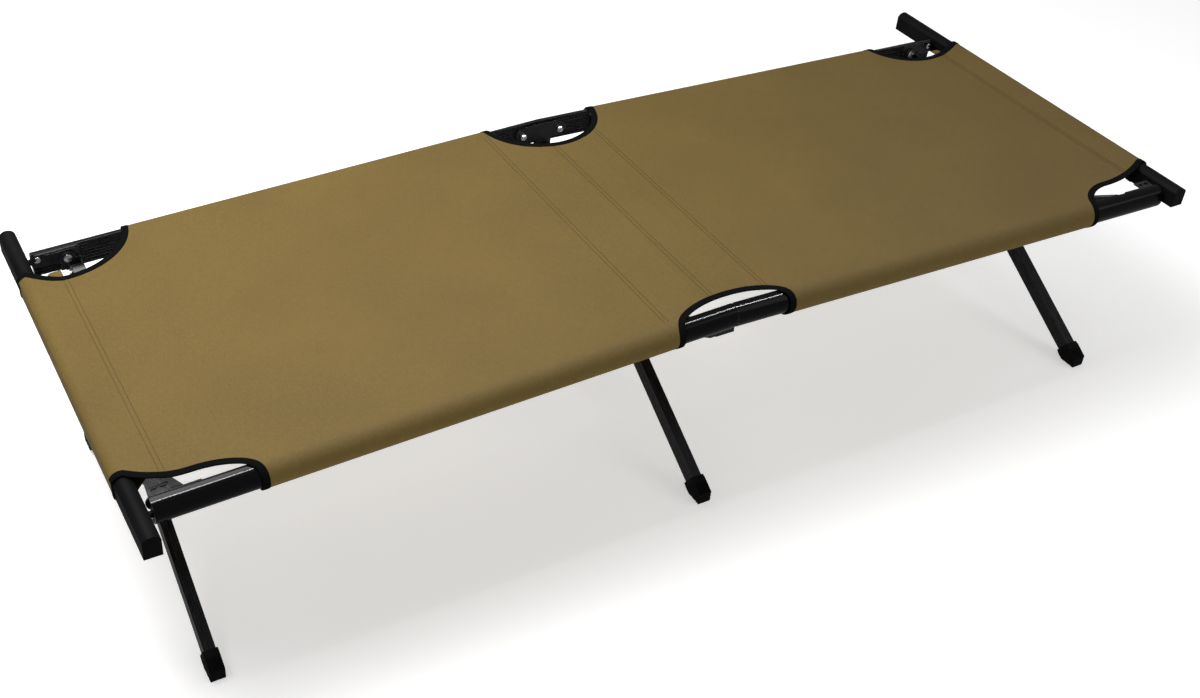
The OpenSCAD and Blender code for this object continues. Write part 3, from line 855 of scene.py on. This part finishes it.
def seam_rows(side):
    """Flat end points of the stitch rows of a side panel."""
    rows = []
    for i in (0, 1):
        u = END_ROWS + i * ROW_GAP
        back, front = (float(corner_edge(side, end, np.array(u))) for end in ("back", "front"))
        rows.append(((u, -front + 3 * MM), (u, back - 3 * MM)))
    for x in MIDDLE_ROWS[side]:
        rows += row_pair(abs(x))
    return rows


def row_pair(x):
    """Two rows of stitches across the deck, to each side of x."""
    rows = []
    for i in (-0.5, 0.5):
        u = x + i * ROW_GAP
        rows.append(((u, -edge_or_rail("front", abs(u))), (u, edge_or_rail("back", abs(u)))))
    return rows


def edge_or_rail(end, u):
    """How far a transverse seam reaches at u."""
    edge = float(middle_edge(end, np.array(u))) if u < MIDDLE[end][0] else TOP_Y
    return min(edge, TOP_Y) - 2 * MM


FACE_MARGIN = 3 * MM  # cloth this far below the line of the rails' tops is wrapped round something
RAIL_CORE = 8 * MM  # the middle of a rail's section, from its inner face
RAILS_ONLY = 800 * MM  # no end bar's cloth comes nearer to the middle


def outwards(s):
    """Which way the cloth's outer side faces at points: up on the deck, away from the middle of
    an end bar or a rail where it is wrapped round one."""

    def up(points):
        x, y, z = points.T
        top = rail_line(x)
        past_rail = np.abs(y) > TOP_Y - TINY
        below = z < top - FACE_MARGIN
        face = np.tile([0.0, 0.0, 1.0], (len(points), 1))
        on_rail = past_rail | (below & (np.abs(x) < RAILS_ONLY))
        sign = np.sign(y)
        middle = np.stack([x, sign * (RAIL_IN + RAIL_CORE), top - WRAP_R], 1)
        face = np.where(on_rail[:, None], (points - middle) * [0, 1, 1], face)
        on_bar = ~on_rail & (below | (np.abs(x) > BAR_X - TINY))
        centre = np.stack([x * 0 + s * BAR_X, y, x * 0 + (BAR_LOW + BAR_TOP) / 2], 1)
        under = np.abs(x) < BAR_IN - FACE_MARGIN
        away = points - centre
        away[:, 2] = np.where(under, -1, away[:, 2])
        away[:, 0] = np.where(under, 0, away[:, 0])
        return np.where(on_bar[:, None], away, face)

    return up


def thicken(obj):
    """Gives a sheet the thickness of cloth."""
    mod = obj.modifiers.new("cloth thickness", "SOLIDIFY")
    mod.thickness = CLOTH_T
    mod.offset = 0
    mod.use_even_offset = False


TURN = math.radians(84)  # how far the middle panel goes round a pivot
FLAP_TAPER = 2.2  # its flaps narrow by this much for each metre past the pivot


def centre_map(u, v):
    """Map of the middle panel: flat between the pivots, and turned down past them."""
    inner = np.clip(u, -PIVOT_X, PIVOT_X)
    flat = np.stack([inner, v, deck.height(inner, v)], -1)
    for s in (-1, 1):
        turn = fold_map(s)(np.where(u * s > PIVOT_X, u, s * PIVOT_X), v)
        flat = np.where((u * s > PIVOT_X + TINY)[:, None], turn, flat)
    return flat


def make_centre():
    """The middle panel of the deck, with its two tapes and its stitches."""
    reach = PIVOT_X + TURN * WRAP_R
    us = np.linspace(-PIVOT_X, PIVOT_X, 13)
    back = np.stack([us, middle_edge("back", us)], 1)
    front = np.stack([us, -middle_edge("front", us)], 1)
    turn_us = np.linspace(PIVOT_X, reach, 11)[1:]
    flap = {}
    for end, e in ENDS.items():
        start = float(middle_edge(end, np.array(PIVOT_X)))
        flap[end] = np.array([(u, e * (start - FLAP_TAPER * (u - PIVOT_X))) for u in turn_us])
    left = np.array([-1, 1])
    outline = np.concatenate([
        back, flap["back"], flap["front"][::-1],
        front[::-1], flap["front"] * left, flap["back"][::-1] * left,
    ])  # fmt: skip
    grid_us = np.concatenate([-turn_us[::-1], us, turn_us])
    panel, cut = cloth("deck_cloth_centre", outline, grid_us, PANEL_VS, centre_map, turn=-1)
    finish(panel, "canvas")
    thicken(panel)
    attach(panel, "centre_back")
    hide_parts("canvas_centre")
    tapes = []
    for edge, inwards in ((back, -1), (front, 1)):
        tapes.append(tape_piece(*tape_rings(edge, centre_map, outwards(1), inwards, us * 0)))
    tapes = finish(join("deck_tape_centre", tapes), "binding")
    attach(tapes, "centre_back")
    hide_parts("binding_centre")
    rows = [row for x in MIDDLE_ROWS["centre"] for row in row_pair(x)]
    stitches = finish(stitch_rows("deck_stitches_centre", rows, centre_map), "canvas", "thread")
    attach(stitches, "centre_back")
    return [(panel, cut, [tapes, stitches], (2 * reach, 2 * TOP_Y))]


sheets = make_sides() + make_centre()

# ---- finishes on the CAD nodes ---------------------------------------------------------

SLOT_WORDS = [
    ("rivet", "rivet"), ("pins", "rivet"), ("caps", "cap_plastic"),
    ("plug", "cap_plastic"), ("foot", "foot_rubber"), ("end_bar", "bar_black"),
    ("leg", "black_leg"), ("rail", "black_rail"), ("plate", "black_steel"),
    ("bracket", "black_steel"), ("hanger", "black_steel"),
]  # fmt: skip
for name, node in NODES.items():
    if node.hide_render:
        continue
    chosen = next(slot_name for word, slot_name in SLOT_WORDS if word in name)
    for i in range(max(1, len(node.material_slots))):
        if node.material_slots:
            node.material_slots[i].material = MATERIALS[chosen]
        else:
            node.data.materials.append(MATERIALS[chosen])

# ---- the deck's pieces get meshes of their own -------------------------------------------

for panel, cut, extras, flat in sheets:
    rail = panel.name.startswith("rail")
    rests = ["rail_back_left", "rail_front_left"]
    if rail:
        rests = [f"rail_{panel.name.split('_', 2)[2]}"]
    if not rail:
        for piece in [panel, *extras]:
            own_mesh(piece)

# ---- floor, lights and camera --------------------------------------------------------------


def make_floor():
    """A white floor that glows a little, painted light that lightens the cot's shadow on it, and
    that gives the black parts nothing to reflect.
    """
    bpy.ops.mesh.primitive_plane_add(size=40, location=(0, 0, 0))
    floor = bpy.context.object
    floor.name = "floor"
    n = Nodes("pale floor")
    n.surface(base_color=(0.9, 0.9, 0.9), roughness=0.9)
    # the floor glows: painted light that lightens the shadow the cot casts on it
    n.surface(emission_color=(1, 1, 1), emission_strength=0.45)
    floor.data.materials.append(n.mat)
    floor.visible_glossy = False  # keeps the black parts black, as on a studio's dark cards


def area_light(name, place, target, size, power):
    """A white area light at a place, turned to a target."""
    light = bpy.data.lights.new(name, "AREA")
    light.shape = "RECTANGLE"
    light.size, light.size_y = size
    light.energy = power
    obj = bpy.data.objects.new(name, light)
    obj.location = place
    direction = Vector(target) - Vector(place)
    obj.rotation_euler = direction.to_track_quat("-Z", "Y").to_euler()
    bpy.context.scene.collection.objects.link(obj)
    return obj


def make_light():
    """Soft studio light from above, and a strip for the shine lines."""
    world = bpy.data.worlds.new("studio")
    bpy.context.scene.world = world
    world.use_nodes = True
    world.node_tree.nodes["Background"].inputs[0].default_value = (1, 1, 1, 1)
    world.node_tree.nodes["Background"].inputs[1].default_value = 0.31
    area_light("key", (-0.95, 0.3, 2.2), (-0.5, 0, 0.4), (1.3, 1.3), 52)
    area_light("fill", (2.4, -2.0, 2.4), (0.9, -1.0, 0), (1.8, 1.8), 10)
    area_light("back", (-0.6, 2.6, 2.2), (-0.4, 0, 0.4), (2.2, 1.0), 22)
    strip = area_light("strip", (0.1, -0.4, 2.6), (0.1, -0.3, 0.4), (3.6, 0.06), 170)
    strip.visible_diffuse = False  # a narrow light that only draws the shine lines on the rails


def make_camera():
    """Camera at its azimuth, elevation and roll."""
    azimuth, elevation, roll = (math.radians(a) for a in (-29.704, 37.426, 2.849))
    data = bpy.data.cameras.new("camera")
    data.sensor_width = 36
    data.lens = 45.65
    data.shift_x, data.shift_y = 0.0767, -0.0221
    cam = bpy.data.objects.new("camera", data)
    forward = Vector((
        -math.sin(azimuth) * math.cos(elevation),
        math.cos(azimuth) * math.cos(elevation),
        -math.sin(elevation),
    ))  # fmt: skip
    right = Vector((math.cos(azimuth), math.sin(azimuth), 0))
    up = right.cross(forward)
    x = math.cos(roll) * right + math.sin(roll) * up
    y = -math.sin(roll) * right + math.cos(roll) * up
    turn = Matrix((x, y, -forward)).transposed().to_4x4()
    cam.matrix_world = Matrix.Translation((-1.2236, -1.7604 + CENTRE_Y, 1.8011)) @ turn
    bpy.context.scene.collection.objects.link(cam)
    bpy.context.scene.camera = cam


make_floor()
make_light()
make_camera()
bpy.context.scene.view_settings.view_transform = "Standard"
